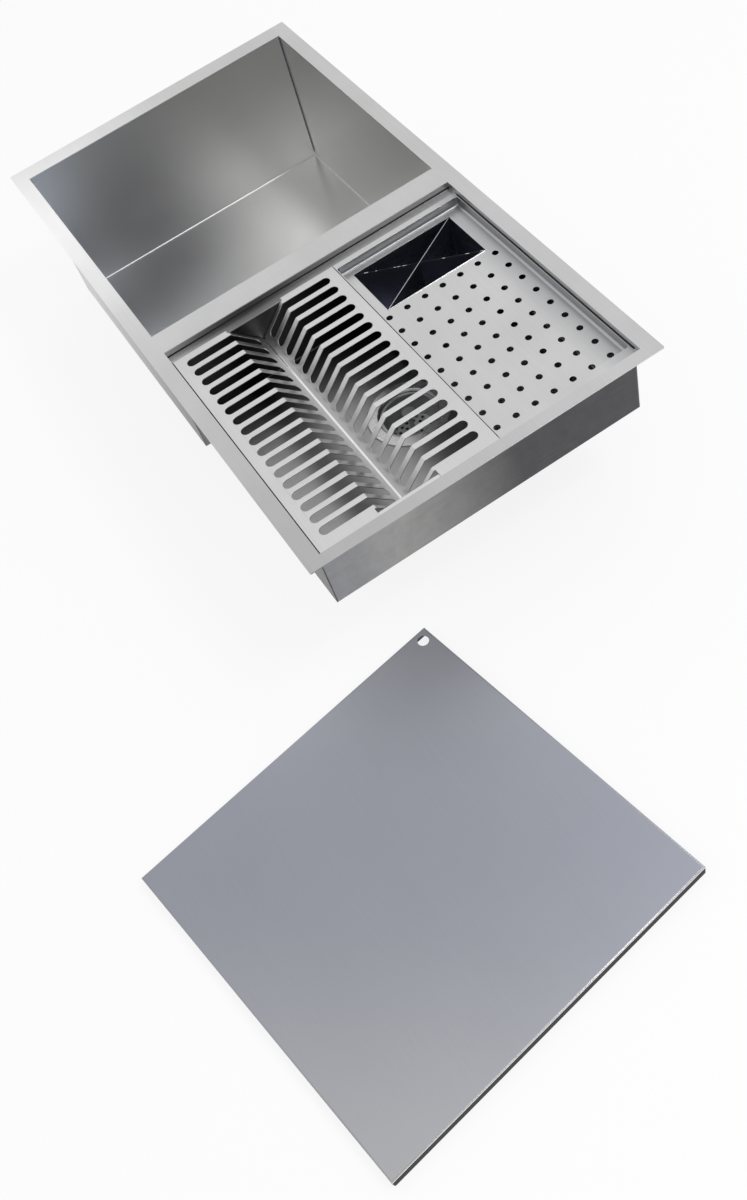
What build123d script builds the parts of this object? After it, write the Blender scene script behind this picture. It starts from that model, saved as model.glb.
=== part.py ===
from build123d import *
import os
from math import atan2, cos, degrees, hypot, pi, radians, sin, tan

# Drop-in steel sink: a deep ice trough at the back (-X) and a stepped bowl at the front (+X) under one
# flat deck, with a basket strainer, lift-out accessories and the trough's lid lying apart on the floor.
# Millimetres, +Z up, X = Y = 0 in the middle of the deck, Z = 0 on the counter under the deck.

# Deck
DECK_L = 960.0
DECK_W = 500.0
SHEET = 1.5
DECK_CORNER_R = 2.0
RIM_BACK = 29.0
RIM_SIDE = 22.5
RIM_FRONT = 17.5
DIVIDER_W = 40.0
BEND_R = 2.0

# Trough and bowl, depths from the deck's top
TROUGH_L = 452.0
TROUGH_DEPTH = 230.0
BOWL_DEPTH = 117.5
LEDGE_DROP = 10.0
BACK_LEDGE = 19.5
FRONT_LEDGE = 13.5

# Strainer, clamped through the bowl's floor
FLOOR_HOLE_PLAY = 2.0
FLANGE_D = 114.0
FLANGE_T = 2.4
FLANGE_EDGE_R = 1.6
CUP_D = 86.0
CUP_WALL = 2.0
CUP_DEPTH = 45.0
MOUTH_CHAMFER = 1.5
NECK_D = 48.0
NECK_L = 14.0
OUTLET_D = 40.0
THREAD_PLAY = 0.15
GASKET_D = 106.0
GASKET_T = 3.0
WASHER_T = 1.0
LOCKNUT_D = 110.0
LOCKNUT_H = 12.0
LUG_COUNT = 8
LUG_W = 12.0
LUG_DEPTH = 4.0

# Tailpiece and its coupling
TAIL_D = 38.0
TAIL_WALL = 1.5
TAIL_FLANGE_T = 1.5
TAIL_ROOT_T = 0.6
TAIL_ROOT_L = 6.0
TAIL_WASHER_T = 2.0
NUT_ACROSS_FLATS = 58.0
NUT_LIP = 3.0
NUT_GRIP = 10.0
NUT_PLAY = 0.3

# Basket
REST_GAP = 0.3
BASKET_PLAY = 0.8
BASKET_DROP = 3.0
BASKET_T = 1.2
BASKET_LIP = 3.0
BASKET_TAPER = 5.0
STOPPER_D = 52.0
STOPPER_T = 5.0
POST_D = 6.0
POST_HEAD_D = 12.0
POST_HEAD_T = 2.0
POST_RISE = 3.0
KNOB_D = 18.0
KNOB_T = 5.0
STRAIN_HOLE_D = 5.0
STRAIN_HOLE_PITCH = 9.0
STRAIN_ROW_PITCH = 8.5

# Accessory sheet, shared by the rack, the tray and the lid
PLATE = 1.2
PLATE_BEND_R = 2.0
ACCESSORY_LAP = 4.0
FRONT_PLAY = 0.3

# Dish rack
RACK_W = 252.8
RACK_SIDE_PLAY = 1.5
WING_W = 85.0
V_W = 83.0
V_DEPTH = 43.0
V_BACK_PLAY = 1.0
V_FRONT_PLAY = 5.5
SLOT_W = 14.0
SLOT_PITCH = 22.25
SLOT_END_BAR = 6.1
SLOT_WING_EDGE = 15.0
SLOT_KEEL = 13.0

# Drainer tray
TRAY_GAP = 1.0
TRAY_SIDE_PLAY = 1.5
PAN_PLAY = 4.0
PAN_DEPTH = 13.2
PAN_R = 5.0
HOLE_D = 9.0
HOLE_ROW_PITCH = 31.0
HOLE_COLUMN_PITCH = 28.0
HOLE_ROW_GAP = 13.5
HOLE_ROW_EDGE = 14.3
HOLE_LEFT_EDGE = 10.0
HOLE_RIGHT_EDGE = 17.8

# Cutlery pocket and its crossed divider
POCKET_SETBACK = 12.3
POCKET_L = 90.0
POCKET_LEFT_EDGE = 16.0
POCKET_RIGHT_EDGE = 23.8
POCKET_FLOOR_GAP = 12.0
POCKET_WALL = 1.2
POCKET_HOLE_D = 6.0
POCKET_HOLE_PITCH = 24.0
POCKET_HOLE_EDGE = 15.0
CROSS_T = 1.0
CROSS_PLAY = 0.6
LAP_PLAY = 0.15

# Lid, lying on the floor in front of the deck
LID_MARGIN = 5.0
LID_SKIRT = 16.5
LID_BEND_R = 2.5
LID_HOLE_D = 15.0
LID_HOLE_EDGE = 14.5
LID_SLIT_W = 1.0
LID_MITRE = 45.0
LID_GAP = 6.0
LID_SHIFT = 338.0
LID_YAW = 9.5

# Places that follow from the sizes
trough_x0 = -DECK_L / 2 + RIM_BACK
trough_x1 = trough_x0 + TROUGH_L
bowl_x0 = trough_x1 + DIVIDER_W
bowl_x1 = DECK_L / 2 - RIM_FRONT
side_y = DECK_W / 2 - RIM_SIDE
trough_floor = SHEET - TROUGH_DEPTH
stand_z = trough_floor - SHEET
bowl_floor = SHEET - BOWL_DEPTH
ledge_z = SHEET - LEDGE_DROP
basin_x0 = bowl_x0 + BACK_LEDGE
basin_x1 = bowl_x1 - FRONT_LEDGE
drain_x = (basin_x0 + basin_x1) / 2

rest_z = ledge_z + REST_GAP
rest_top = rest_z + PLATE
accessory_x0 = basin_x0 - ACCESSORY_LAP
accessory_x1 = bowl_x1 - BEND_R - FRONT_PLAY
rack_y0 = -side_y + RACK_SIDE_PLAY
rack_y1 = rack_y0 + RACK_W
fold_y0 = rack_y0 + WING_W
fold_y1 = fold_y0 + V_W
keel_y = (fold_y0 + fold_y1) / 2
slope_angle = atan2(V_DEPTH, V_W / 2)
bend_run = (PLATE_BEND_R + PLATE) * tan(slope_angle / 2)

tray_y0 = rack_y1 + TRAY_GAP
tray_y1 = side_y - TRAY_SIDE_PLAY
pan_x0 = basin_x0 + PAN_PLAY
pan_x1 = basin_x1 - PAN_PLAY
pan_floor = rest_top - PAN_DEPTH
pan_under = pan_floor - PLATE
pocket_x0 = pan_x0 + PLATE + POCKET_SETBACK
pocket_x1 = pocket_x0 + POCKET_L
pocket_y0 = tray_y0 + PLATE + POCKET_LEFT_EDGE
pocket_y1 = tray_y1 - PLATE - POCKET_RIGHT_EDGE
pocket_under = bowl_floor + POCKET_FLOOR_GAP
pocket_floor = pocket_under + POCKET_WALL


def box_between(x0, x1, y0, y1, z0, z1):
    """Solid box given by its limits."""
    centre = Pos((x0 + x1) / 2, (y0 + y1) / 2, (z0 + z1) / 2)
    return centre * Box(x1 - x0, y1 - y0, z1 - z0)


def spread(first, last, pitch):
    """Evenly spaced places from first to last, as near to the pitch as fits."""
    gaps = max(1, round((last - first) / pitch))
    return [first + (last - first) * i / gaps for i in range(gaps + 1)]


def fold_line(points, radius):
    """Run of a folded sheet's inner face, with its bends."""
    return FilletPolyline(*points, radius=radius)


def folded_sheet(plane, points, thickness, radius, y0, y1):
    """Sheet folded along points, thickened to the left of the run, from y0 to y1 along the plane's normal."""
    outline = offset(fold_line(points, radius), amount=thickness, side=Side.LEFT)
    section = make_face(outline.edges())
    return extrude(plane.offset(y0) * section, amount=y1 - y0)


def drill(diameter, thickness):
    """Cutter for a round hole through a sheet of that thickness, centred on one of its faces."""
    return Cylinder(diameter / 2, 4 * thickness)


def end_plate(points, thickness, radius, y0):
    """Flat plate that closes the end of a folded sheet, cut to the outside of its run."""
    run = offset(fold_line(points, radius), amount=thickness, side=Side.LEFT, closed=False)
    section = make_face([*run.edges(), Line(run @ 1, run @ 0)])
    return extrude(WALL_PLANE.offset(y0) * section, amount=thickness)


def turned(points):
    """Body of revolution from (radius, height) points about the drain's axis, heights from the bowl's floor."""
    section = make_face(Polyline(*points, close=True).edges())
    return Pos(drain_x, 0, bowl_floor) * revolve(Plane.XZ * section, Axis.Z)


def ring(outer, inner, z0, z1):
    """Flat ring about the drain's axis."""
    return turned([(inner, z0), (outer, z0), (outer, z1), (inner, z1)])


# Section plane of the sink's walls: local x along -X, local y up, normal along +Y
WALL_PLANE = Plane(origin=(0, 0, 0), x_dir=(-1, 0, 0), z_dir=(0, 1, 0))


def on_wall_plane(points):
    """(X, Z) points as local points of the wall plane."""
    return [(-x, z) for x, z in points]


TROUGH_RUN = on_wall_plane([
    (trough_x0, 0),
    (trough_x0, trough_floor),
    (trough_x1, trough_floor),
    (trough_x1, 0),
])
BOWL_RUN = on_wall_plane([
    (bowl_x0, 0),
    (bowl_x0, ledge_z),
    (basin_x0, ledge_z),
    (basin_x0, bowl_floor),
    (basin_x1, bowl_floor),
    (basin_x1, ledge_z),
    (bowl_x1, ledge_z),
    (bowl_x1, 0),
])


def deck_flange():
    outline = Pos(0, 0, SHEET / 2) * Box(DECK_L, DECK_W, SHEET)
    sheet = fillet(outline.edges().filter_by(Axis.Z), DECK_CORNER_R)
    trough_hole = box_between(trough_x0, trough_x1, -side_y, side_y, -SHEET, 2 * SHEET)
    bowl_hole = box_between(bowl_x0, bowl_x1, -side_y, side_y, -SHEET, 2 * SHEET)
    return sheet - [trough_hole, bowl_hole]


def trough_wrap():
    return folded_sheet(WALL_PLANE, TROUGH_RUN, SHEET, BEND_R, -side_y, side_y)


def bowl_wrap():
    sheet = folded_sheet(WALL_PLANE, BOWL_RUN, SHEET, BEND_R, -side_y, side_y)
    return sheet - Pos(drain_x, 0, bowl_floor) * drill(CUP_D + 2 * FLOOR_HOLE_PLAY, SHEET)


cup_r = CUP_D / 2
cup_inner_r = cup_r - CUP_WALL
cup_floor = CUP_WALL - CUP_DEPTH
neck_r = NECK_D / 2
neck_end = -CUP_DEPTH - NECK_L
gasket_z = -SHEET - GASKET_T
washer_z = gasket_z - WASHER_T


def strainer_body():
    body = turned([
        (OUTLET_D / 2, neck_end),
        (neck_r, neck_end),
        (neck_r, -CUP_DEPTH),
        (cup_r, -CUP_DEPTH),
        (cup_r, 0),
        (FLANGE_D / 2, 0),
        (FLANGE_D / 2, FLANGE_T),
        (cup_inner_r + MOUTH_CHAMFER, FLANGE_T),
        (cup_inner_r, FLANGE_T - MOUTH_CHAMFER),
        (cup_inner_r, cup_floor),
        (OUTLET_D / 2, cup_floor),
    ])
    top_edges = body.edges().filter_by(GeomType.CIRCLE).group_by(Axis.Z)[-1]
    return fillet(top_edges.sort_by(SortBy.RADIUS)[-1], FLANGE_EDGE_R)


def strainer_gasket():
    return ring(GASKET_D / 2, cup_r + THREAD_PLAY, gasket_z, -SHEET)


def strainer_washer():
    return ring(GASKET_D / 2, cup_r + THREAD_PLAY, washer_z, gasket_z)


def strainer_locknut():
    nut = ring(LOCKNUT_D / 2, cup_r + THREAD_PLAY, washer_z - LOCKNUT_H, washer_z)
    notch = Pos(LOCKNUT_D / 2, 0, 0) * Box(2 * LUG_DEPTH, LUG_W, LOCKNUT_H)
    notch_z = bowl_floor + washer_z - LOCKNUT_H
    turns = PolarLocations(0, LUG_COUNT).locations
    return nut - [Pos(drain_x, 0, notch_z) * turn * notch for turn in turns]


tail_r = TAIL_D / 2
tail_root_r = tail_r + TAIL_ROOT_T
tail_bore_r = tail_r - TAIL_WALL
tail_flange_r = neck_r - 2 * THREAD_PLAY
tail_washer_z = neck_end - TAIL_WASHER_T
tail_flange_z = tail_washer_z - TAIL_FLANGE_T
tail_root_z = tail_flange_z - TAIL_ROOT_L
tail_end = stand_z - bowl_floor


def tailpiece():
    return turned([
        (tail_bore_r, tail_end),
        (tail_r, tail_end),
        (tail_r, tail_root_z),
        (tail_root_r, tail_root_z),
        (tail_root_r, tail_flange_z),
        (tail_flange_r, tail_flange_z),
        (tail_flange_r, tail_washer_z),
        (tail_bore_r, tail_washer_z),
    ])


def tailpiece_washer():
    return ring(tail_flange_r, tail_bore_r, tail_washer_z, neck_end)


def tailpiece_nut():
    lip_z = tail_flange_z - NUT_LIP
    height = neck_end + NUT_GRIP - lip_z
    hexagon = RegularPolygon(NUT_ACROSS_FLATS / 2, 6, major_radius=False)
    nut = Pos(drain_x, 0, bowl_floor + lip_z) * extrude(hexagon, amount=height)
    thread = ring(neck_r + THREAD_PLAY, 0, tail_flange_z, neck_end + NUT_GRIP)
    passage = ring(tail_root_r + NUT_PLAY, 0, lip_z, tail_flange_z)
    return nut - [thread, passage]


basket_r = cup_inner_r - BASKET_PLAY
basket_base_r = basket_r - BASKET_LIP - BASKET_TAPER
stopper_z = cup_floor + REST_GAP
basket_z = stopper_z + STOPPER_T


def strain_holes():
    """Round holes in the basket's base, on rings between the post's collar and the wall."""
    first = POST_HEAD_D / 2 + STRAIN_HOLE_D
    last = basket_base_r - BASKET_T - STRAIN_HOLE_D
    hole = Pos(drain_x, 0, bowl_floor + basket_z) * drill(STRAIN_HOLE_D, BASKET_T)
    places = []
    for radius in spread(first, last, STRAIN_ROW_PITCH):
        count = int(2 * pi * radius / STRAIN_HOLE_PITCH)
        places += [turn.position for turn in PolarLocations(radius, count).locations]
    return [Pos(place) * hole for place in places]


def strainer_basket():
    lip_z = -BASKET_DROP
    cup = turned([
        (POST_D / 2 + THREAD_PLAY, basket_z),
        (basket_base_r, basket_z),
        (basket_r - BASKET_LIP, lip_z - BASKET_T),
        (basket_r, lip_z - BASKET_T),
        (basket_r, lip_z),
        (basket_r - BASKET_LIP - BASKET_T, lip_z),
        (basket_base_r - BASKET_T, basket_z + BASKET_T),
        (POST_D / 2 + THREAD_PLAY, basket_z + BASKET_T),
    ])
    return cup - strain_holes()


def basket_post():
    collar_z = basket_z + BASKET_T
    knob_z = POST_RISE - KNOB_T
    return turned([
        (0, stopper_z - POST_HEAD_T),
        (POST_HEAD_D / 2, stopper_z - POST_HEAD_T),
        (POST_HEAD_D / 2, stopper_z),
        (POST_D / 2, stopper_z),
        (POST_D / 2, collar_z),
        (POST_HEAD_D / 2, collar_z),
        (POST_HEAD_D / 2, collar_z + POST_HEAD_T),
        (POST_D / 2, collar_z + POST_HEAD_T),
        (POST_D / 2, knob_z),
        (KNOB_D / 2, knob_z),
        (KNOB_D / 2, POST_RISE),
        (0, POST_RISE),
    ])


def basket_stopper():
    return ring(STOPPER_D / 2, POST_D / 2 + THREAD_PLAY, stopper_z, basket_z)


def rack_slots():
    """Slot cutters: each slot crosses a wing, turns over the fold and runs down the slope."""
    slope = hypot(V_W / 2, V_DEPTH)
    first = basin_x0 + V_BACK_PLAY + SLOT_END_BAR + SLOT_W / 2
    last = basin_x1 - V_FRONT_PLAY - SLOT_END_BAR - SLOT_W / 2
    over = SLOT_W
    wing_run = WING_W - SLOT_WING_EDGE + over
    slope_run = slope - SLOT_KEEL + over
    wing = extrude(SlotOverall(wing_run, SLOT_W, rotation=90), amount=4 * PLATE, both=True)
    ramp = extrude(SlotOverall(slope_run, SLOT_W, rotation=90), amount=4 * PLATE, both=True)
    cutters = []
    for x in spread(first, last, SLOT_PITCH):
        for fold_y, away in ((fold_y0, -1), (fold_y1, 1)):
            fold = Pos(x, fold_y, rest_z)
            cutters.append(fold * Pos(0, away * (wing_run / 2 - over), 0) * wing)
            tilt = Rot(away * degrees(slope_angle), 0, 0)
            cutters.append(fold * tilt * Pos(0, -away * (slope_run / 2 - over), 0) * ramp)
    return cutters


def dish_rack():
    run = [
        (rack_y0, rest_z),
        (fold_y0, rest_z),
        (keel_y, rest_z - V_DEPTH),
        (fold_y1, rest_z),
        (rack_y1, rest_z),
    ]
    sheet = folded_sheet(Plane.YZ, run, PLATE, PLATE_BEND_R, accessory_x0, accessory_x1)
    z_low = rest_z - 2 * V_DEPTH
    z_high = rest_top + PLATE
    v_x0 = basin_x0 + V_BACK_PLAY
    v_x1 = basin_x1 - V_FRONT_PLAY
    notch_y0 = fold_y0 - bend_run
    notch_y1 = fold_y1 + bend_run
    back_notch = box_between(accessory_x0 - PLATE, v_x0, notch_y0, notch_y1, z_low, z_high)
    front_notch = box_between(v_x1, accessory_x1 + PLATE, notch_y0, notch_y1, z_low, z_high)
    return sheet - [back_notch, front_notch, *rack_slots()]


def pan_block(inset, z_top):
    """Round-cornered block of the tray's pan, drawn in by inset on every face but the top."""
    radius = PAN_R - inset
    block = box_between(
        pan_x0 + inset, pan_x1 - inset, tray_y0 + inset, tray_y1 - inset, pan_under + inset, z_top
    )
    block = fillet(block.edges().filter_by(Axis.Z), radius)
    return fillet(block.faces().sort_by(Axis.Z)[0].edges(), radius)


def tray_holes():
    rows = spread(pocket_x1 + HOLE_ROW_GAP, pan_x1 - PLATE - HOLE_ROW_EDGE, HOLE_ROW_PITCH)
    columns = spread(
        tray_y0 + PLATE + HOLE_LEFT_EDGE, tray_y1 - PLATE - HOLE_RIGHT_EDGE, HOLE_COLUMN_PITCH
    )
    hole = drill(HOLE_D, PLATE)
    return [Pos(x, y, pan_floor) * hole for x in rows for y in columns]


def drainer_tray():
    pan = pan_block(0, rest_top) - pan_block(PLATE, rest_top + PLATE)
    lip = PAN_R
    back_rim = box_between(accessory_x0, pan_x0 + lip, tray_y0, tray_y1, rest_z, rest_top)
    front_rim = box_between(pan_x1 - lip, accessory_x1, tray_y0, tray_y1, rest_z, rest_top)
    rims = back_rim + front_rim - pan_block(PLATE, rest_top + PLATE)
    opening = box_between(
        pocket_x0, pocket_x1, pocket_y0, pocket_y1, pan_under - PLATE, pan_floor + PLATE
    )
    return pan + rims - [opening, *tray_holes()]


def cutlery_pocket():
    outer = box_between(
        pocket_x0 - POCKET_WALL, pocket_x1 + POCKET_WALL,
        pocket_y0 - POCKET_WALL, pocket_y1 + POCKET_WALL,
        pocket_under, pan_under,
    )
    inner = box_between(pocket_x0, pocket_x1, pocket_y0, pocket_y1, pocket_floor, pan_under + POCKET_WALL)
    hole = drill(POCKET_HOLE_D, POCKET_WALL)
    rows = spread(pocket_x0 + POCKET_HOLE_EDGE, pocket_x1 - POCKET_HOLE_EDGE, POCKET_HOLE_PITCH)
    columns = spread(pocket_y0 + POCKET_HOLE_EDGE, pocket_y1 - POCKET_HOLE_EDGE, POCKET_HOLE_PITCH)
    holes = [Pos(x, y, pocket_under) * hole for x in rows for y in columns]
    return outer - [inner, *holes]


def cross_sheet(side):
    """One diagonal divider sheet; side +1 is slit from the top, side -1 from the bottom."""
    length_x = pocket_x1 - pocket_x0
    length_y = pocket_y1 - pocket_y0
    lean = atan2(length_y, length_x)
    reach_x = (length_x / 2 - CROSS_PLAY - CROSS_T / 2 * sin(lean)) / cos(lean)
    reach_y = (length_y / 2 - CROSS_PLAY - CROSS_T / 2 * cos(lean)) / sin(lean)
    half = min(reach_x, reach_y)
    bottom = pocket_floor + REST_GAP
    height = pan_floor - bottom
    crossing = radians(180) - 2 * lean
    slit_w = CROSS_T / sin(crossing) + CROSS_T / tan(crossing) + 2 * LAP_PLAY
    sheet = Box(2 * half, CROSS_T, height)
    slit = Pos(0, 0, side * height / 2) * Box(slit_w, 3 * CROSS_T, height)
    centre = Pos((pocket_x0 + pocket_x1) / 2, (pocket_y0 + pocket_y1) / 2, bottom + height / 2)
    return centre * Rot(0, 0, side * degrees(lean)) * (sheet - slit)


def lid_shell(length, width, height, radius):
    """Block with rounded top edges, its underside on Z = 0."""
    block = Pos(0, 0, height / 2) * Box(length, width, height)
    return fillet(block.faces().sort_by(Axis.Z)[-1].edges(), radius)


def trough_lid():
    length = TROUGH_L + 2 * LID_MARGIN
    width = 2 * (side_y + LID_MARGIN)
    outer = lid_shell(length, width, LID_SKIRT, LID_BEND_R)
    inner = lid_shell(length - 2 * PLATE, width - 2 * PLATE, LID_SKIRT - PLATE, LID_BEND_R - PLATE)
    finger_hole = Pos(-length / 2 + LID_HOLE_EDGE, width / 2 - LID_HOLE_EDGE, LID_SKIRT)
    slit_h = LID_SKIRT - LID_BEND_R
    slit = Box(6 * PLATE, LID_SLIT_W, slit_h)
    cuts = [finger_hole * drill(LID_HOLE_D, PLATE)]
    for x_sign in (-1, 1):
        for y_sign in (-1, 1):
            corner = Pos(x_sign * length / 2, y_sign * width / 2, slit_h / 2)
            cuts.append(corner * Rot(0, 0, x_sign * y_sign * LID_MITRE) * slit)
    half_x = (length * cos(radians(LID_YAW)) + width * sin(radians(LID_YAW))) / 2
    place = Pos(DECK_L / 2 + LID_GAP + half_x, -LID_SHIFT, stand_z) * Rot(0, 0, LID_YAW)
    return place * (outer - [inner, *cuts])


PIECES = {
    "deck_flange": deck_flange(),
    "trough_wrap": trough_wrap(),
    "trough_left_wall": end_plate(TROUGH_RUN, SHEET, BEND_R, -side_y - SHEET),
    "trough_right_wall": end_plate(TROUGH_RUN, SHEET, BEND_R, side_y),
    "bowl_wrap": bowl_wrap(),
    "bowl_left_wall": end_plate(BOWL_RUN, SHEET, BEND_R, -side_y - SHEET),
    "bowl_right_wall": end_plate(BOWL_RUN, SHEET, BEND_R, side_y),
    "strainer_body": strainer_body(),
    "strainer_gasket": strainer_gasket(),
    "strainer_washer": strainer_washer(),
    "strainer_locknut": strainer_locknut(),
    "tailpiece": tailpiece(),
    "tailpiece_washer": tailpiece_washer(),
    "tailpiece_nut": tailpiece_nut(),
    "strainer_basket": strainer_basket(),
    "basket_post": basket_post(),
    "basket_stopper": basket_stopper(),
    "dish_rack": dish_rack(),
    "drainer_tray": drainer_tray(),
    "cutlery_pocket": cutlery_pocket(),
    "cutlery_divider_a": cross_sheet(1),
    "cutlery_divider_b": cross_sheet(-1),
    "trough_lid": trough_lid(),
}

os.makedirs("parts", exist_ok=True)
for name, piece in PIECES.items():
    export_step(piece, f"parts/{name}.step")
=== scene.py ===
import math

import bmesh
import bpy
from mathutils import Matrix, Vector


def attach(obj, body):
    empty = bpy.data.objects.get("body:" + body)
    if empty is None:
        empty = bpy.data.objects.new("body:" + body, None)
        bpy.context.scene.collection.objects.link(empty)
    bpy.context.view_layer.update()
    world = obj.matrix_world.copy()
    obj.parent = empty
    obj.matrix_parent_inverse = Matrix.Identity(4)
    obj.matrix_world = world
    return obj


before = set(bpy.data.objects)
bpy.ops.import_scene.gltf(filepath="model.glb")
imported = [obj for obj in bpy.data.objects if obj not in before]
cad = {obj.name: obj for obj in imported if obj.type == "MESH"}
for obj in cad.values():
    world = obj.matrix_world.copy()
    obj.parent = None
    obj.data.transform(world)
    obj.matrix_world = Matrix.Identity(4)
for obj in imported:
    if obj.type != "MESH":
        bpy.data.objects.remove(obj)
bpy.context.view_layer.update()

# Places in metres, in the part's own frame: trough on -X, bowl on +X, rack on -Y, tray on +Y
LENGTHWISE = (1.0, 0.0, 0.0)
ACROSS = (0.0, 1.0, 0.0)
UPRIGHT = (0.0, 0.0, 1.0)
FLOOR_Z = -0.230
SIDE_Y = 0.2275
TROUGH_X = (-0.451, 0.001)
TROUGH_Z = (-0.2285, -0.001)
BOWL_X = (0.0605, 0.449)
BOWL_Z = (-0.116, -0.0115)
BEND_R = 0.002
LEDGE_Z = -0.0085
LEDGE_BLEND = 0.002
# The rack's keel line and left edge, and the tray's margin, where painted highlight and painted shade lie
KEEL_Y = -0.0995
KEEL_HALF_WIDTH = 0.0013
RACK_EDGE_Y = -0.2248
TRAY_MARGIN_Y = (0.180, 0.222)
LID_CENTRE = (0.7522, -0.338, 0.0)
LID_DIAGONAL = (0.812, -0.583, 0.0)
LID_FRONT = (0.986, 0.165, 0.0)
SEAM_R = 0.0018
SEAM_BITE = 0.0003
SEAM_RISE = (0.003, 0.012)
LIP_X = 0.1687
LIP_Y = (0.045, 0.201)
LIP_Z = -0.0199
LIP_R = 0.0007

# Points over the basins, which the faces inside them look towards
TROUGH_CENTRE = (-0.225, 0.0, 0.20)
BOWL_CENTRE = (0.252, 0.0, 0.20)

# Round patches of painted highlight and painted shade: their middles, and where they start and stop to fade
DECK_SHADE_AT = (0.48, -0.24, 0.0)
DECK_HIGHLIGHT_AT = (-0.31, -0.26, 0.0)
BACK_WALL_SHADE_AT = (TROUGH_X[0], -0.09, -0.15)
SHADE_AT = (-0.35, -SIDE_Y, TROUGH_Z[0])
FLOOR_HIGHLIGHT_AT = (-0.30, 0.10, TROUGH_Z[0])
PATCH_CORE = 0.02
DECK_SHADE_R = 0.42
DECK_HIGHLIGHT_R = 0.40
TROUGH_LIGHT_PATCH_R = 0.19

# Limits on parts of a normal, by which faces are told apart
FACES_X = 0.7
FACES_UP = 0.3
FACES_DOWN = -0.2
BENT_Z = (0.15, 0.97)
TRAY_WALL_Z = 0.6
TRAY_BACK_X = (0.12, 0.35)
LID_BEND = 0.28
LID_SKIRT_Z = 0.35
LID_TOP_Z = 0.96


# Node helpers

class Graph:
    """Short calls for building the node tree of a material or a world."""

    def __init__(self, owner, output):
        owner.use_nodes = True
        self.owner = owner
        self.tree = owner.node_tree
        self.tree.nodes.clear()
        self.output = self.node(output)

    def node(self, kind, **settings):
        made = self.tree.nodes.new(kind)
        for key, value in settings.items():
            setattr(made, key, value)
        return made

    def link(self, source, target):
        self.tree.links.new(source, target)

    def put(self, socket, value):
        """A link where value is a socket, a constant otherwise."""
        if isinstance(value, bpy.types.NodeSocket):
            self.link(value, socket)
        else:
            socket.default_value = value

    def math(self, operation, a, b=0.0, clamp=False):
        made = self.node("ShaderNodeMath", operation=operation, use_clamp=clamp)
        self.put(made.inputs[0], a)
        self.put(made.inputs[1], b)
        return made.outputs[0]

    def vector(self, operation, a, b, result="Value"):
        made = self.node("ShaderNodeVectorMath", operation=operation)
        self.put(made.inputs[0], a)
        self.put(made.inputs[1], b)
        return made.outputs[result]

    def spread(self, value, low, high, from_low=0.0, from_high=1.0, kind="LINEAR"):
        made = self.node("ShaderNodeMapRange", interpolation_type=kind)
        self.put(made.inputs["Value"], value)
        self.put(made.inputs["From Min"], from_low)
        self.put(made.inputs["From Max"], from_high)
        self.put(made.inputs["To Min"], low)
        self.put(made.inputs["To Max"], high)
        return made.outputs["Result"]

    def mix(self, factor, a, b):
        made = self.node("ShaderNodeMix", data_type="FLOAT")
        self.put(made.inputs[0], factor)
        self.put(made.inputs[2], a)
        self.put(made.inputs[3], b)
        return made.outputs[0]

    def mix_colour(self, factor, a, b, blend="MIX"):
        made = self.node("ShaderNodeMix", data_type="RGBA", blend_type=blend)
        self.put(made.inputs[0], factor)
        for socket, value in ((made.inputs[6], a), (made.inputs[7], b)):
            self.put(socket, value if isinstance(value, bpy.types.NodeSocket) else (*value, 1.0))
        return made.outputs[2]

    def scale(self, colour, share):
        made = self.node("ShaderNodeVectorMath", operation="SCALE")
        self.put(made.inputs[0], colour)
        self.put(made.inputs["Scale"], share)
        return made.outputs[0]

    def place(self):
        """Object coordinates and the object-space normal."""
        made = self.node("ShaderNodeTexCoord")
        return made.outputs["Object"], made.outputs["Normal"]

    def noise(self, vector, scale, stretch=(1.0, 1.0, 1.0), detail=3.0, roughness=0.55):
        mapping = self.node("ShaderNodeMapping")
        mapping.inputs["Scale"].default_value = stretch
        self.put(mapping.inputs["Vector"], vector)
        made = self.node("ShaderNodeTexNoise")
        made.inputs["Scale"].default_value = scale
        made.inputs["Detail"].default_value = detail
        made.inputs["Roughness"].default_value = roughness
        self.link(mapping.outputs[0], made.inputs["Vector"])
        return made.outputs["Fac"]

    def split(self, vector):
        made = self.node("ShaderNodeSeparateXYZ")
        self.put(made.inputs[0], vector)
        return made.outputs

    def bump(self, height, strength, distance):
        made = self.node("ShaderNodeBump")
        made.inputs["Strength"].default_value = strength
        made.inputs["Distance"].default_value = distance
        self.link(height, made.inputs["Height"])
        return made.outputs[0]

    def shader(self, **sockets):
        made = self.node("ShaderNodeBsdfPrincipled")
        for key, value in sockets.items():
            self.put(made.inputs[key.replace("_", " ")], value)
        self.link(made.outputs[0], self.output.inputs["Surface"])


def new_material(name):
    """Graph of a new material."""
    return Graph(bpy.data.materials.new(name), "ShaderNodeOutputMaterial")


def grey(level):
    return (level, level, level)


def tint(colour, share):
    return tuple(c * share for c in colour)


def along(g, place, axis, origin=(0.0, 0.0, 0.0)):
    """How far a point lies along an axis from an origin."""
    return g.vector("DOT_PRODUCT", g.vector("SUBTRACT", place, origin, "Vector"), axis)


def inside_of(g, place, normal, centre):
    """1 on faces that look towards a basin's centre, 0 on the faces outside it."""
    facing = g.vector("DOT_PRODUCT", g.vector("SUBTRACT", centre, place, "Vector"), normal)
    return g.math("GREATER_THAN", facing, 0.0)


def bent(g, normal):
    """1 on faces between upright and level, as on a fold above a ledge or a floor, 0 elsewhere."""
    level = g.split(normal)[2]
    leaning = g.math("GREATER_THAN", level, BENT_Z[0])
    return g.math("MULTIPLY", leaning, g.math("LESS_THAN", level, BENT_Z[1]))


def underside(g, normal, base, colour):
    """Base colour with another on the faces that look down, painted shade where it is used."""
    return g.mix_colour(g.math("LESS_THAN", g.split(normal)[2], FACES_DOWN), base, colour)


def fade(g, reach, low, high, start, end):
    """Colour low up to start, high from end on."""
    return g.mix_colour(g.spread(reach, 0.0, 1.0, start, end), low, high)


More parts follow.
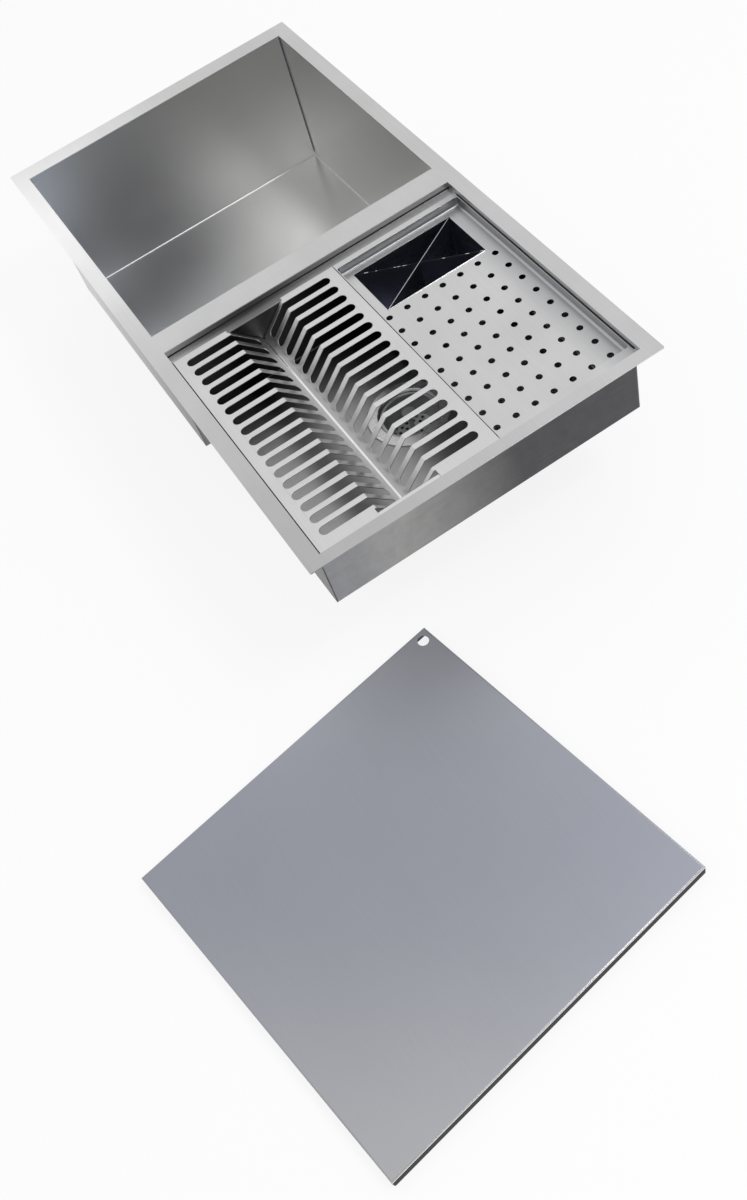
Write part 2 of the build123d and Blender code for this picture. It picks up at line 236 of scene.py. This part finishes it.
def tone_ramp(g, reach, tones, kind="B_SPLINE"):
    """Colour that runs through tones, each a reach and a colour."""
    first, last = tones[0][0], tones[-1][0]
    ramp = g.node("ShaderNodeValToRGB")
    ramp.color_ramp.interpolation = kind
    while len(ramp.color_ramp.elements) < len(tones):
        ramp.color_ramp.elements.new(0.5)
    for element, (at, colour) in zip(ramp.color_ramp.elements, tones):
        element.position = (at - first) / (last - first)
        element.color = (*colour, 1.0)
    g.link(g.spread(reach, 0.0, 1.0, first, last), ramp.inputs[0])
    return ramp.outputs[0]


def patch(g, place, base, centre, radius, colour):
    """Base colour with a soft round patch of another colour."""
    away = g.vector("DISTANCE", place, centre)
    return g.mix_colour(g.spread(away, 0.0, 1.0, PATCH_CORE, radius, "SMOOTHSTEP"), colour, base)


# Finishes

NOISE_MIDDLE = (0.3, 0.7)
CLOUD_DETAIL = 2.0
LINE_LONG = 7.0
LINE_FINE = 1500.0
LINE_NOISE = (2.0, 0.6)
LINE_MIDDLE = (0.35, 0.7)
LINE_TONE = 0.05
LINE_GLOSS = 0.05
LINE_BUMP = 0.05
SATIN_CLOUD = 9.0
CLOUD_TONE = 0.04
CLOUD_GLOSS = 0.02
SATIN_SCUFF = 55.0
SCUFF_DETAIL = 5.0
SCUFF_ROUGH = 0.7
SCUFF_MIDDLE = (0.4, 0.75)
SCUFF_GLOSS = (-0.01, 0.02)
BUMP_DEPTH = 0.0004


def brush(g, place, normal, base, rough, grain=1.0, cloudy=1.0, graze=1.0):
    """Satin finish over a base colour: fine brush lines along each face, cloudy polish and small scuffs.
    grain and cloudy are the strengths of the lines and of the rest, and graze is the share of light that
    the metal keeps at a grazing angle."""
    along_x = g.noise(place, 1.0, (LINE_LONG, LINE_FINE, LINE_FINE), *LINE_NOISE)
    along_y = g.noise(place, 1.0, (LINE_FINE, LINE_LONG, LINE_FINE), *LINE_NOISE)
    faces_x = g.math("GREATER_THAN", g.math("ABSOLUTE", g.split(normal)[0]), FACES_X)
    line = g.mix(faces_x, along_x, along_y)
    cloud = g.noise(place, SATIN_CLOUD, detail=CLOUD_DETAIL)
    scuff = g.noise(place, SATIN_SCUFF, detail=SCUFF_DETAIL, roughness=SCUFF_ROUGH)
    cloud_tone = CLOUD_TONE * cloudy
    cloud_gloss = CLOUD_GLOSS * cloudy
    line_gloss = LINE_GLOSS * grain
    shade = g.math("SUBTRACT", g.spread(cloud, 1.0 - cloud_tone, 1.0 + cloud_tone, *NOISE_MIDDLE),
                   g.spread(line, 0.0, LINE_TONE * grain, *LINE_MIDDLE))
    roughness = g.math("ADD", g.spread(cloud, -cloud_gloss, cloud_gloss, *NOISE_MIDDLE),
                       g.spread(line, -line_gloss, line_gloss, *NOISE_MIDDLE))
    low, high = tint(SCUFF_GLOSS, cloudy)
    roughness = g.math("ADD", roughness, g.spread(scuff, low, high, *SCUFF_MIDDLE))
    roughness = g.math("ADD", roughness, rough)
    g.shader(Base_Color=g.scale(base, shade), Metallic=1.0, Roughness=roughness,
             Specular_Tint=(*grey(graze), 1.0), Normal=g.bump(line, LINE_BUMP * grain, BUMP_DEPTH))


def sheet_finish(name, colour, rough, patches=()):
    """Satin sheet of an even tone, apart from round patches of painted highlight and painted shade."""
    g = new_material(name)
    place, normal = g.place()
    base = colour
    # Round patches of painted highlight and painted shade over the even tone
    for at, radius, tone in patches:
        base = patch(g, place, base, at, radius, tone)
    brush(g, place, normal, base, rough)
    return g.owner


def ledge_tones(g, place, normal, satin, back, front, fold):
    """Satin steel with other tones above the bowl's ledge: back runs from side to side behind the bowl's
    middle as painted shade, over a fold of its own tone, painted shade in the gap, and front is even."""
    height = along(g, place, UPRIGHT)
    behind = g.math("LESS_THAN", along(g, place, LENGTHWISE), BOWL_CENTRE[0])
    # Painted shade above the back ledge, and in the gap at its fold
    brow = g.mix_colour(behind, front, tone_ramp(g, along(g, place, ACROSS), back))
    above = g.math("MULTIPLY", behind, g.math("GREATER_THAN", height, LEDGE_Z))
    brow = g.mix_colour(g.math("MULTIPLY", bent(g, normal), above), brow, fold)
    return fade(g, height, satin, brow, LEDGE_Z - LEDGE_BLEND, LEDGE_Z)


MILL_SCUFF = 40.0
MILL_TONE = (0.9, 1.08)
MILL_ROUGHER = 0.1


def basin_finish(name, centre, axis, tones, outside_shade, rough, grain=1.0, cloudy=1.0, brow=None, patches=(),
                 fold=None, bands=None):
    """Satin steel inside a basin, with painted light and shade as its tones along an axis, and a rougher
    as-rolled finish outside it, whose tones are painted shade. outside_shade is an axis and two tones along
    it. brow holds the tones above the ledge, patches are round patches of painted highlight and painted
    shade, fold is the tones across a bend, a painted highlight, and bands scale the tones from side to side
    as painted shade."""
    g = new_material(name)
    place, normal = g.place()
    inside = inside_of(g, place, normal, centre)
    # Painted light and shade inside the basin: along the axis, from side to side and in patches
    satin = tone_ramp(g, along(g, place, axis), tones)
    if bands:
        satin = g.mix_colour(1.0, satin, tone_ramp(g, along(g, place, ACROSS), bands), "MULTIPLY")
    for at, radius, colour in patches:
        satin = patch(g, place, satin, at, radius, colour)
    if brow:
        satin = ledge_tones(g, place, normal, satin, *brow)
    # Painted highlight along the bend
    if fold:
        satin = g.mix_colour(bent(g, normal), satin, tone_ramp(g, along(g, place, ACROSS), fold))
    scuff = g.noise(place, MILL_SCUFF, detail=SCUFF_DETAIL, roughness=SCUFF_ROUGH)
    # Painted shade outside the basin, as darker tones of the steel along an axis
    shade_axis, (start, low), (end, high) = outside_shade
    outside = fade(g, along(g, place, shade_axis), low, high, start, end)
    outside = g.scale(outside, g.spread(scuff, *MILL_TONE, *NOISE_MIDDLE))
    base = g.mix_colour(inside, outside, satin)
    brush(g, place, normal, base, g.mix(inside, rough + MILL_ROUGHER, rough), grain, cloudy)
    return g.owner


def rack_finish(name, colour, keel, cut, below, rough, keel_rough):
    """Satin sheet with a painted highlight along the V's keel, painted shade along the cut edge on the left
    and painted shade on the underside."""
    g = new_material(name)
    place, normal = g.place()
    reach = along(g, place, ACROSS)
    # Painted highlight along the keel, painted shade in the gap at the left edge and on the underside
    off_keel = g.math("ABSOLUTE", g.math("SUBTRACT", reach, KEEL_Y))
    line = g.math("LESS_THAN", off_keel, KEEL_HALF_WIDTH)
    base = g.mix_colour(line, colour, keel)
    base = g.mix_colour(g.math("LESS_THAN", reach, RACK_EDGE_Y), base, cut)
    base = underside(g, normal, base, below)
    brush(g, place, normal, base, g.mix(line, rough, keel_rough))
    return g.owner


def tray_finish(name, colour, margin, upright, back, below, rough):
    """Satin sheet with painted shade: darker towards its right margin, darker on upright faces, darkest on
    the back wall and its fold, and dark on the underside."""
    g = new_material(name)
    place, normal = g.place()
    facing = g.split(normal)
    # Painted shade towards the right margin, on upright faces, on the back wall and underneath
    wall = g.math("LESS_THAN", g.math("ABSOLUTE", facing[2]), TRAY_WALL_Z)
    flat = fade(g, along(g, place, ACROSS), colour, margin, *TRAY_MARGIN_Y)
    base = g.mix_colour(wall, flat, upright)
    base = fade(g, facing[0], base, back, *TRAY_BACK_X)
    base = underside(g, normal, base, below)
    brush(g, place, normal, base, rough)
    return g.owner


def lid_finish(name, tones, skirt, bend, rough, bend_rough, grain, cloudy, graze):
    """Fine satin top with painted light and shade as its tones along a diagonal, painted shade on the skirt
    and a painted highlight on the bend along the front.
    """
    g = new_material(name)
    place, normal = g.place()
    level = g.math("ABSOLUTE", g.split(normal)[2])
    # Painted light along the diagonal, painted highlight on the front bend and painted shade on the skirt
    base = tone_ramp(g, along(g, place, LID_DIAGONAL, LID_CENTRE), tones)
    base = g.mix_colour(g.math("GREATER_THAN", along(g, normal, LID_FRONT), LID_BEND), base, bend)
    base = g.mix_colour(g.math("LESS_THAN", level, LID_SKIRT_Z), base, skirt)
    roughness = g.mix(g.math("LESS_THAN", level, LID_TOP_Z), rough, bend_rough)
    brush(g, place, normal, base, roughness, grain, cloudy, graze)
    return g.owner


RIPPLE = (420.0, 60.0, 420.0)
RIPPLE_TONE = (0.85, 1.05)
RIPPLE_ROUGH = (0.18, 0.32)
RIPPLE_BUMP = 0.15


def seam_finish(name, colour, upper, floor_z):
    """Weld bead, ground matt and pale along the basin's floor, the pale tone partly a painted highlight, and
    dark up its corners.
    """
    g = new_material(name)
    place, _ = g.place()
    ripple = g.noise(place, 1.0, RIPPLE)
    rise = along(g, place, UPRIGHT)
    start, end = floor_z + SEAM_RISE[0], floor_z + SEAM_RISE[1]
    # Pale floor tone, partly a painted highlight
    base = fade(g, rise, colour, upper, start, end)
    g.shader(Base_Color=g.scale(base, g.spread(ripple, *RIPPLE_TONE, *NOISE_MIDDLE)),
             Metallic=g.spread(rise, 0.0, 1.0, start, end),
             Roughness=g.spread(ripple, *RIPPLE_ROUGH, *NOISE_MIDDLE),
             Normal=g.bump(ripple, RIPPLE_BUMP, BUMP_DEPTH))
    return g.owner


def cloud_colour(g, cloud, colour, shares):
    """Colour that runs between two shares of itself with a cloudy noise."""
    low, high = (tint(colour, share) for share in shares)
    return fade(g, cloud, low, high, *NOISE_MIDDLE)


METAL_CLOUD = 30.0
METAL_TONE = (0.9, 1.06)
METAL_GLOSS = (-0.04, 0.05)
SPECKLE_NOISE = {"detail": 4.0, "roughness": 0.65}
SPECKLE_BUMP = 0.04
SPECKLE_DEPTH = 0.0003


def plain_metal(name, colour, rough, scale):
    """Turned or plated metal with a fine speckle and cloudy wear."""
    g = new_material(name)
    place, _ = g.place()
    speckle = g.noise(place, scale, **SPECKLE_NOISE)
    cloud = g.noise(place, METAL_CLOUD, detail=CLOUD_DETAIL)
    base = cloud_colour(g, cloud, colour, METAL_TONE)
    low, high = METAL_GLOSS
    roughness = g.math("ADD", g.spread(cloud, rough + low, rough + high, *NOISE_MIDDLE),
                       g.spread(speckle, low, high, *LINE_MIDDLE))
    g.shader(Base_Color=base, Metallic=1.0, Roughness=roughness,
             Normal=g.bump(speckle, SPECKLE_BUMP, SPECKLE_DEPTH))
    return g.owner


# Size and edge of the short spots of painted highlight
GLINT_SPOTS = 130.0
GLINT_SPOT_EDGE = (0.56, 0.62)


def glinting_edge(name, face, face_rough, edge_shade, dull_rough, colour, rough):
    """Sheet whose cut top edge is dark, painted shade, and bright only in short spots of painted highlight.
    """
    g = new_material(name)
    place, normal = g.place()
    top = g.math("GREATER_THAN", g.split(normal)[2], FACES_UP)
    # Painted highlight in short spots on the top edge, painted shade between them
    spot = g.spread(g.noise(place, GLINT_SPOTS, detail=1.0), 0.0, 1.0, *GLINT_SPOT_EDGE)
    base = g.mix_colour(top, face, g.mix_colour(spot, edge_shade, colour))
    roughness = g.mix(top, face_rough, g.mix(spot, dull_rough, rough))
    g.shader(Base_Color=base, Metallic=1.0, Roughness=roughness)
    return g.owner


SOFT_CLOUD = 60.0
SOFT_TONE = (0.8, 1.15)
SOFT_GLOSS = (-0.08, 0.06)
SOFT_BUMP = 0.2


def soft_matter(name, colour, rough, scale):
    """Rubber or pressed fibre: grainy, matt, a little uneven in colour."""
    g = new_material(name)
    place, _ = g.place()
    grain = g.noise(place, scale, detail=SCUFF_DETAIL, roughness=SCUFF_ROUGH)
    base = cloud_colour(g, g.noise(place, SOFT_CLOUD, detail=CLOUD_DETAIL), colour, SOFT_TONE)
    low, high = SOFT_GLOSS
    roughness = g.spread(grain, rough + low, rough + high, *NOISE_MIDDLE)
    g.shader(Base_Color=base, Roughness=roughness, Normal=g.bump(grain, SOFT_BUMP, BUMP_DEPTH))
    return g.owner


# Painted light and shade on the steel: rows of places along an axis with their colours, and patches with
# their middles, reaches and colours

# Painted shade on the deck's near corner and a painted highlight on its far left
DECK_PAINTED_LIGHT = (
    (DECK_SHADE_AT, DECK_SHADE_R, grey(0.49)),
    (DECK_HIGHLIGHT_AT, DECK_HIGHLIGHT_R, grey(0.97)),
)
# Painted light and shade inside the trough from side to side: lighter at both ends, darker in the middle
TROUGH_SHADING_TONES = (
    (-SIDE_Y, (0.80, 0.83, 0.88)),
    (-0.14, (0.62, 0.63, 0.64)),
    (0.03, grey(0.50)),
    (0.12, (0.59, 0.59, 0.585)),
    (SIDE_Y, (0.80, 0.80, 0.79)),
)
# Painted shade on the trough's back wall and on the left of its floor, and a painted highlight on the floor
TROUGH_PAINTED_LIGHT = (
    (BACK_WALL_SHADE_AT, TROUGH_LIGHT_PATCH_R, (0.30, 0.30, 0.305)),
    (SHADE_AT, TROUGH_LIGHT_PATCH_R, (0.33, 0.335, 0.345)),
    (FLOOR_HIGHLIGHT_AT, TROUGH_LIGHT_PATCH_R, (0.64, 0.64, 0.63)),
)
# Painted highlight along the trough's bends, brightest on the left
TROUGH_FOLD_HIGHLIGHT = (
    (-SIDE_Y, grey(1.0)),
    (-0.05, grey(0.90)),
    (0.10, (0.58, 0.58, 0.575)),
    (SIDE_Y, (0.62, 0.62, 0.615)),
)
# Painted shade on the outside of the trough: an even, darker copy of the steel
TROUGH_OUTSIDE_SHADE = (ACROSS, (-SIDE_Y, (0.19, 0.19, 0.195)), (SIDE_Y, (0.19, 0.19, 0.195)))
# Painted shade inside the bowl: near black at the back, lighter towards the front
BOWL_SHADING_TONES = (
    (0.06, grey(0.06)),
    (0.12, grey(0.26)),
    (0.22, grey(0.56)),
    (BOWL_X[1], grey(0.52)),
)
# Painted shade across the bowl: a dark band along the floor under the rack, and a darker right half
BOWL_SHADE_BANDS = (
    (-SIDE_Y, grey(1.0)),
    (-0.163, grey(1.0)),
    (-0.135, grey(0.0)),
    (-0.107, grey(1.0)),
    (-0.05, grey(1.0)),
    (0.01, grey(0.5)),
    (SIDE_Y, grey(0.45)),
)
# Painted shade above the bowl's back ledge, darkest left of the middle
BACK_BROW_SHADE = (
    (-SIDE_Y, grey(0.56)),
    (-0.12, grey(0.04)),
    (0.02, grey(0.40)),
    (SIDE_Y, grey(0.38)),
)
PLAIN_BROW = grey(0.70)
SIDE_BROW = ((-SIDE_Y, PLAIN_BROW), (SIDE_Y, PLAIN_BROW))
# Painted shade on the outside of the bowl, lighter towards the near side, and of the side walls, darker
# towards the middle
BOWL_OUTSIDE_SHADE = (ACROSS, (-SIDE_Y, (0.53, 0.527, 0.518)), (0.05, (0.09, 0.09, 0.095)))
SIDE_OUTSIDE_SHADE = (LENGTHWISE, (-0.40, (0.60, 0.60, 0.605)), (0.0, (0.15, 0.15, 0.155)))
# Painted light on the lid's top: lighter at both ends of its diagonal
LID_SHADING_TONES = (
    (-0.324, (0.54, 0.55, 0.60)),
    (-0.14, (0.32, 0.33, 0.38)),
    (0.10, (0.32, 0.33, 0.38)),
    (0.324, (0.47, 0.47, 0.48)),
)
# Painted shade in the gaps: on the fold above the bowl's ledge and along the rack's left edge
GAP_SHADE = grey(0.02)
# Painted shade on the undersides of the rack and the tray
UNDERSIDE_SHADE = grey(0.12)
# Painted highlight along the rack's keel and the lid's front bend
BEND_HIGHLIGHT = grey(0.95)
# Pale weld bead on the trough's floor, partly a painted highlight
PALE_SEAM_AND_HIGHLIGHT = grey(0.95)
GREY_SEAM = grey(0.60)
CORNER_SEAM = (0.24, 0.245, 0.26)
# Painted shade: the pocket and its dividers as a darker, bluish copy of the steel
POCKET_SHADE = (0.34, 0.35, 0.41)
POCKET_ROUGH = 0.30
TROUGH_SATIN = {"rough": 0.29, "grain": 0.2, "cloudy": 0.15, "patches": TROUGH_PAINTED_LIGHT}
BOWL_ROUGH = 0.34

deck_steel = sheet_finish("deck_steel", grey(0.60), rough=0.36, patches=DECK_PAINTED_LIGHT)
trough_steel = basin_finish("trough_steel", TROUGH_CENTRE, ACROSS, TROUGH_SHADING_TONES, TROUGH_OUTSIDE_SHADE,
                            fold=TROUGH_FOLD_HIGHLIGHT, **TROUGH_SATIN)
trough_side = basin_finish("trough_side", TROUGH_CENTRE, ACROSS, TROUGH_SHADING_TONES, SIDE_OUTSIDE_SHADE, **TROUGH_SATIN)
bowl_steel = basin_finish("bowl_steel", BOWL_CENTRE, LENGTHWISE, BOWL_SHADING_TONES, BOWL_OUTSIDE_SHADE, BOWL_ROUGH,
                          brow=(BACK_BROW_SHADE, PLAIN_BROW, GAP_SHADE), bands=BOWL_SHADE_BANDS)
bowl_side = basin_finish("bowl_side", BOWL_CENTRE, LENGTHWISE, BOWL_SHADING_TONES, SIDE_OUTSIDE_SHADE, BOWL_ROUGH,
                         brow=(SIDE_BROW, PLAIN_BROW, GAP_SHADE))
rack_steel = rack_finish("rack_steel", grey(0.66), keel=BEND_HIGHLIGHT, cut=GAP_SHADE, below=UNDERSIDE_SHADE,
                         rough=0.33, keel_rough=0.16)
# Painted shade on the tray's margin, upright faces, back wall and underside
tray_steel = tray_finish("tray_steel", grey(0.62), margin=(0.42, 0.425, 0.44), upright=(0.46, 0.465, 0.475),
                         back=(0.27, 0.275, 0.285), below=UNDERSIDE_SHADE, rough=0.33)
# Painted shade on the pocket and the second divider
pocket_steel = sheet_finish("pocket_steel", POCKET_SHADE, POCKET_ROUGH)
# The lid's skirt is painted shade and its bend a painted highlight
lid_steel = lid_finish("lid_steel", LID_SHADING_TONES, skirt=(0.085, 0.085, 0.09), bend=BEND_HIGHLIGHT, rough=0.46,
                       bend_rough=0.30, grain=0.4, cloudy=0.3, graze=0.45)
trough_seam = seam_finish("trough_seam", PALE_SEAM_AND_HIGHLIGHT, CORNER_SEAM, TROUGH_Z[0])
bowl_seam = seam_finish("bowl_seam", GREY_SEAM, CORNER_SEAM, BOWL_Z[0])
# Painted shade on the divider's top edge, with short spots of painted highlight
glint_edge = glinting_edge("glint_edge", POCKET_SHADE, POCKET_ROUGH, edge_shade=(0.03, 0.03, 0.035), dull_rough=0.45,
                         colour=grey(0.86), rough=0.22)
# Edge finishes brighter than the faces, for the bevels and the pocket's lip: partly worn edges, partly
# painted highlight
edge_steel = plain_metal("edge_steel", grey(0.82), rough=0.22, scale=500.0)
lid_edge = plain_metal("lid_edge", (0.52, 0.53, 0.56), rough=0.22, scale=500.0)
polished = plain_metal("polished_steel", grey(0.90), rough=0.30, scale=2500.0)
basket_steel = plain_metal("basket_steel", (0.60, 0.605, 0.61), rough=0.40, scale=2000.0)
plated = plain_metal("plated_metal", (0.50, 0.49, 0.46), rough=0.34, scale=300.0)
rubber = soft_matter("black_rubber", (0.022, 0.022, 0.024), rough=0.62, scale=700.0)
fibre = soft_matter("fibre", (0.32, 0.24, 0.16), rough=0.8, scale=900.0)

FINISH = {
    "deck_flange": deck_steel,
    "trough_wrap": trough_steel,
    "trough_left_wall": trough_side,
    "trough_right_wall": trough_side,
    "bowl_wrap": bowl_steel,
    "bowl_left_wall": bowl_side,
    "bowl_right_wall": bowl_side,
    "strainer_body": polished,
    "strainer_basket": basket_steel,
    "basket_post": basket_steel,
    "basket_stopper": rubber,
    "strainer_gasket": rubber,
    "strainer_washer": fibre,
    "strainer_locknut": plated,
    "tailpiece": plated,
    "tailpiece_washer": rubber,
    "tailpiece_nut": plated,
    "dish_rack": rack_steel,
    "drainer_tray": tray_steel,
    "cutlery_pocket": pocket_steel,
    "cutlery_divider_a": glint_edge,
    "cutlery_divider_b": pocket_steel,
    "trough_lid": lid_steel,
}
for name, material in FINISH.items():
    mesh = cad[name].data
    mesh.materials.clear()
    mesh.materials.append(material)


# Broken edges of the cut sheets

WELD_REACH = 1e-6
EDGE_ANGLE = math.radians(50.0)
EDGE_SEGMENTS = 2
DECK_EDGE = 0.0005
THIN_EDGE = 0.0003


def ease_edges(name, width, edge):
    """Breaks a sheet's sharp edges with a small bevel in an edge finish."""
    node = cad[name]
    node.data.materials.append(edge)
    weld = node.modifiers.new("weld", "WELD")
    weld.merge_threshold = WELD_REACH
    bevel = node.modifiers.new("edge", "BEVEL")
    bevel.width = width
    bevel.segments = EDGE_SEGMENTS
    bevel.limit_method = "ANGLE"
    bevel.angle_limit = EDGE_ANGLE
    bevel.material = 1
    bevel.use_clamp_overlap = True
    bevel.harden_normals = True


ease_edges("deck_flange", DECK_EDGE, edge_steel)
ease_edges("dish_rack", THIN_EDGE, rack_steel)
ease_edges("drainer_tray", THIN_EDGE, edge_steel)
ease_edges("cutlery_divider_a", THIN_EDGE, glint_edge)
ease_edges("cutlery_divider_b", THIN_EDGE, edge_steel)
ease_edges("trough_lid", THIN_EDGE, lid_edge)


# Weld beads in the corners of the basins, and the pocket's rolled lip

SHARP_ANGLE = math.radians(35.0)
QUARTER_TURN = 90.0
HALF_TURN = 180.0


def arc(start, sweep, steps):
    """Unit vectors round an arc, from a start angle through a sweep, in degrees."""
    turns = [math.radians(start + sweep * i / steps) for i in range(steps + 1)]
    return [(math.cos(turn), math.sin(turn)) for turn in turns]


def skin(name, sections, finish, body):
    """Closed piece through a row of sections, each a ring of points, that rides on a body."""
    bm = bmesh.new()
    rings = [[bm.verts.new(point) for point in section] for section in sections]
    for a, b in zip(rings, rings[1:]):
        for i in range(len(a)):
            j = (i + 1) % len(a)
            bm.faces.new((a[i], a[j], b[j], b[i]))
    bm.faces.new(rings[0])
    bm.faces.new(rings[-1][::-1])
    bmesh.ops.recalc_face_normals(bm, faces=bm.faces)
    mesh = bpy.data.meshes.new(name)
    bm.to_mesh(mesh)
    bm.free()
    mesh.shade_smooth()
    mesh.set_sharp_from_angle(angle=SHARP_ANGLE)
    mesh.materials.append(finish)
    piece = bpy.data.objects.new(name, mesh)
    bpy.context.scene.collection.objects.link(piece)
    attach(piece, body)


def seam_run(x0, x1, z0, z1, steps=6):
    """Stations (point, inward normal) down one end of a wrap, along its floor and up the other end."""
    stations = [((x0, z1), (1.0, 0.0))]
    for bend_x, start in ((x0 + BEND_R, HALF_TURN), (x1 - BEND_R, HALF_TURN + QUARTER_TURN)):
        for x, z in arc(start, QUARTER_TURN, steps):
            stations.append(((bend_x + BEND_R * x, z0 + BEND_R + BEND_R * z), (-x, -z)))
    stations.append(((x1, z1), (-1.0, 0.0)))
    return stations


def weld_seam(name, stations, side, finish, steps=5):
    """Concave bead in the corner between a wrap and the side wall on that side, biting a little into both."""
    profile = [(-SEAM_BITE, -SEAM_BITE), (-SEAM_BITE, SEAM_R)]
    profile += [(SEAM_R + SEAM_R * x, SEAM_R + SEAM_R * y) for x, y in arc(HALF_TURN, QUARTER_TURN, steps)]
    profile.append((SEAM_R, -SEAM_BITE))
    sections = []
    for (x, z), (nx, nz) in stations:
        sections.append([(x + nx * out, side * (SIDE_Y - off), z + nz * out) for out, off in profile])
    skin(name, sections, finish, "sink")


def pocket_lip(steps=6):
    """Rolled lip on the drainer along the front edge of the pocket, with rounded ends."""
    profile = [(LIP_R, -LIP_R)]
    profile += [(LIP_R * x, LIP_R * z) for x, z in arc(0.0, HALF_TURN, steps)]
    profile.append((-LIP_R, -LIP_R))
    sections = []
    for end, inward in ((LIP_Y[0], 1.0), (LIP_Y[1], -1.0)):
        caps = []
        for i in range(steps):
            # Rings start half a step in, so that none shrinks to a point
            turn = math.radians(QUARTER_TURN) * (i + 0.5) / (steps - 0.5)
            size = math.sin(turn)
            y = end + inward * LIP_R * (1.0 - math.cos(turn))
            caps.append([(LIP_X + x * size, y, LIP_Z + (z * size if z > 0.0 else z)) for x, z in profile])
        sections += caps if inward > 0.0 else caps[::-1]
    skin("pocket_lip", sections, edge_steel, "drainer")


for basin, (x0, x1), (z0, z1), finish in (
    ("trough", TROUGH_X, TROUGH_Z, trough_seam),
    ("bowl", BOWL_X, BOWL_Z, bowl_seam),
):
    for word, side in (("left", -1.0), ("right", 1.0)):
        weld_seam(f"{basin}_{word}_seam", seam_run(x0, x1, z0, z1), side, finish)
pocket_lip()


# Floor, light and camera

STAGE_REACH = 30.0
STAGE_SEGMENTS = 8
STAGE_GAP = 0.0002
STAGE_AT = (0.2, 0.0, FLOOR_Z - STAGE_GAP)
STAGE_TONE = 0.88
STAGE_GLOW = 0.85
WHITE = grey(1.0)
SKY_AXIS = (-0.70, -0.06, 0.71)
SKY_TONES = ((-1.0, grey(0.18)), (0.0, grey(0.30)), (0.45, grey(0.72)), (0.75, grey(0.92)), (1.0, grey(0.95)))
HORIZON = (0.10, 0.26)

# Each lamp's name, place, aim, width and height, and watts
LAMPS = (
    ("key", (1.3, 1.4, 2.8), (0.1, 0.0, -0.1), (1.2, 1.2), 30.0),
    ("front", (2.2, 1.2, 2.0), (-0.3, 0.1, -0.2), (0.8, 0.8), 3.3),
    ("fill", (2.45, -0.4, 1.85), (-0.2, 0.0, -0.1), (2.0, 0.9), 8.0),
)
LENS = 39.0
SENSOR = 36.0
NEAR_CLIP = 0.05
CAMERA_AT = (1.3619, -0.3988, 1.1708)
CAMERA_TURN = (0.57951, 0.22014, 1.01977)


def stage_floor():
    """Pale floor that looks white to the camera and in the steel, and keeps the part's shadow."""
    bm = bmesh.new()
    bmesh.ops.create_grid(bm, x_segments=STAGE_SEGMENTS, y_segments=STAGE_SEGMENTS, size=STAGE_REACH)
    mesh = bpy.data.meshes.new("floor")
    bm.to_mesh(mesh)
    bm.free()
    floor = bpy.data.objects.new("floor", mesh)
    floor.location = STAGE_AT
    bpy.context.scene.collection.objects.link(floor)
    g = new_material("floor_white")
    path = g.node("ShaderNodeLightPath")
    seen = g.math("ADD", path.outputs["Is Camera Ray"], path.outputs["Is Glossy Ray"], clamp=True)
    seen = g.math("ADD", seen, path.outputs["Is Transmission Ray"], clamp=True)
    diffuse = g.node("ShaderNodeBsdfDiffuse")
    diffuse.inputs["Color"].default_value = (*grey(STAGE_TONE), 1.0)
    glow = g.node("ShaderNodeEmission")
    glow.inputs["Color"].default_value = (*WHITE, 1.0)
    glow.inputs["Strength"].default_value = 1.0
    blend = g.node("ShaderNodeMixShader")
    g.link(g.math("MULTIPLY", seen, STAGE_GLOW), blend.inputs[0])
    g.link(diffuse.outputs[0], blend.inputs[1])
    g.link(glow.outputs[0], blend.inputs[2])
    g.link(blend.outputs[0], g.output.inputs["Surface"])
    mesh.materials.append(g.owner)


def studio_world():
    """Soft studio surround: white up to the horizon, bright over the back of the sink, dim over its front."""
    world = bpy.data.worlds.new("studio")
    bpy.context.scene.world = world
    g = Graph(world, "ShaderNodeOutputWorld")
    ray = g.node("ShaderNodeTexCoord").outputs["Generated"]
    facing = g.vector("DOT_PRODUCT", ray, Vector(SKY_AXIS).normalized())
    above = g.spread(g.split(ray)[2], 0.0, 1.0, *HORIZON)
    sky = g.node("ShaderNodeBackground")
    g.link(g.mix_colour(above, WHITE, tone_ramp(g, facing, SKY_TONES, "LINEAR")), sky.inputs["Color"])
    g.link(sky.outputs[0], g.output.inputs["Surface"])


def soft_box(name, place, aim, size, watts):
    """Rectangular area lamp turned towards an aim."""
    data = bpy.data.lights.new(name, "AREA")
    data.shape = "RECTANGLE"
    data.size, data.size_y = size
    data.energy = watts
    lamp = bpy.data.objects.new(name, data)
    lamp.location = place
    lamp.rotation_euler = (Vector(aim) - Vector(place)).to_track_quat("-Z", "Y").to_euler()
    bpy.context.scene.collection.objects.link(lamp)


def set_camera():
    """Camera at the photograph's viewing angle."""
    data = bpy.data.cameras.new("camera")
    data.lens = LENS
    data.sensor_width = SENSOR
    data.clip_start = NEAR_CLIP
    camera = bpy.data.objects.new("camera", data)
    camera.location = CAMERA_AT
    camera.rotation_euler = CAMERA_TURN
    bpy.context.scene.collection.objects.link(camera)
    bpy.context.scene.camera = camera


stage_floor()
studio_world()
for lamp in LAMPS:
    soft_box(*lamp)
set_camera()
bpy.context.scene.view_settings.view_transform = "Standard"

bpy.context.view_layer.update()
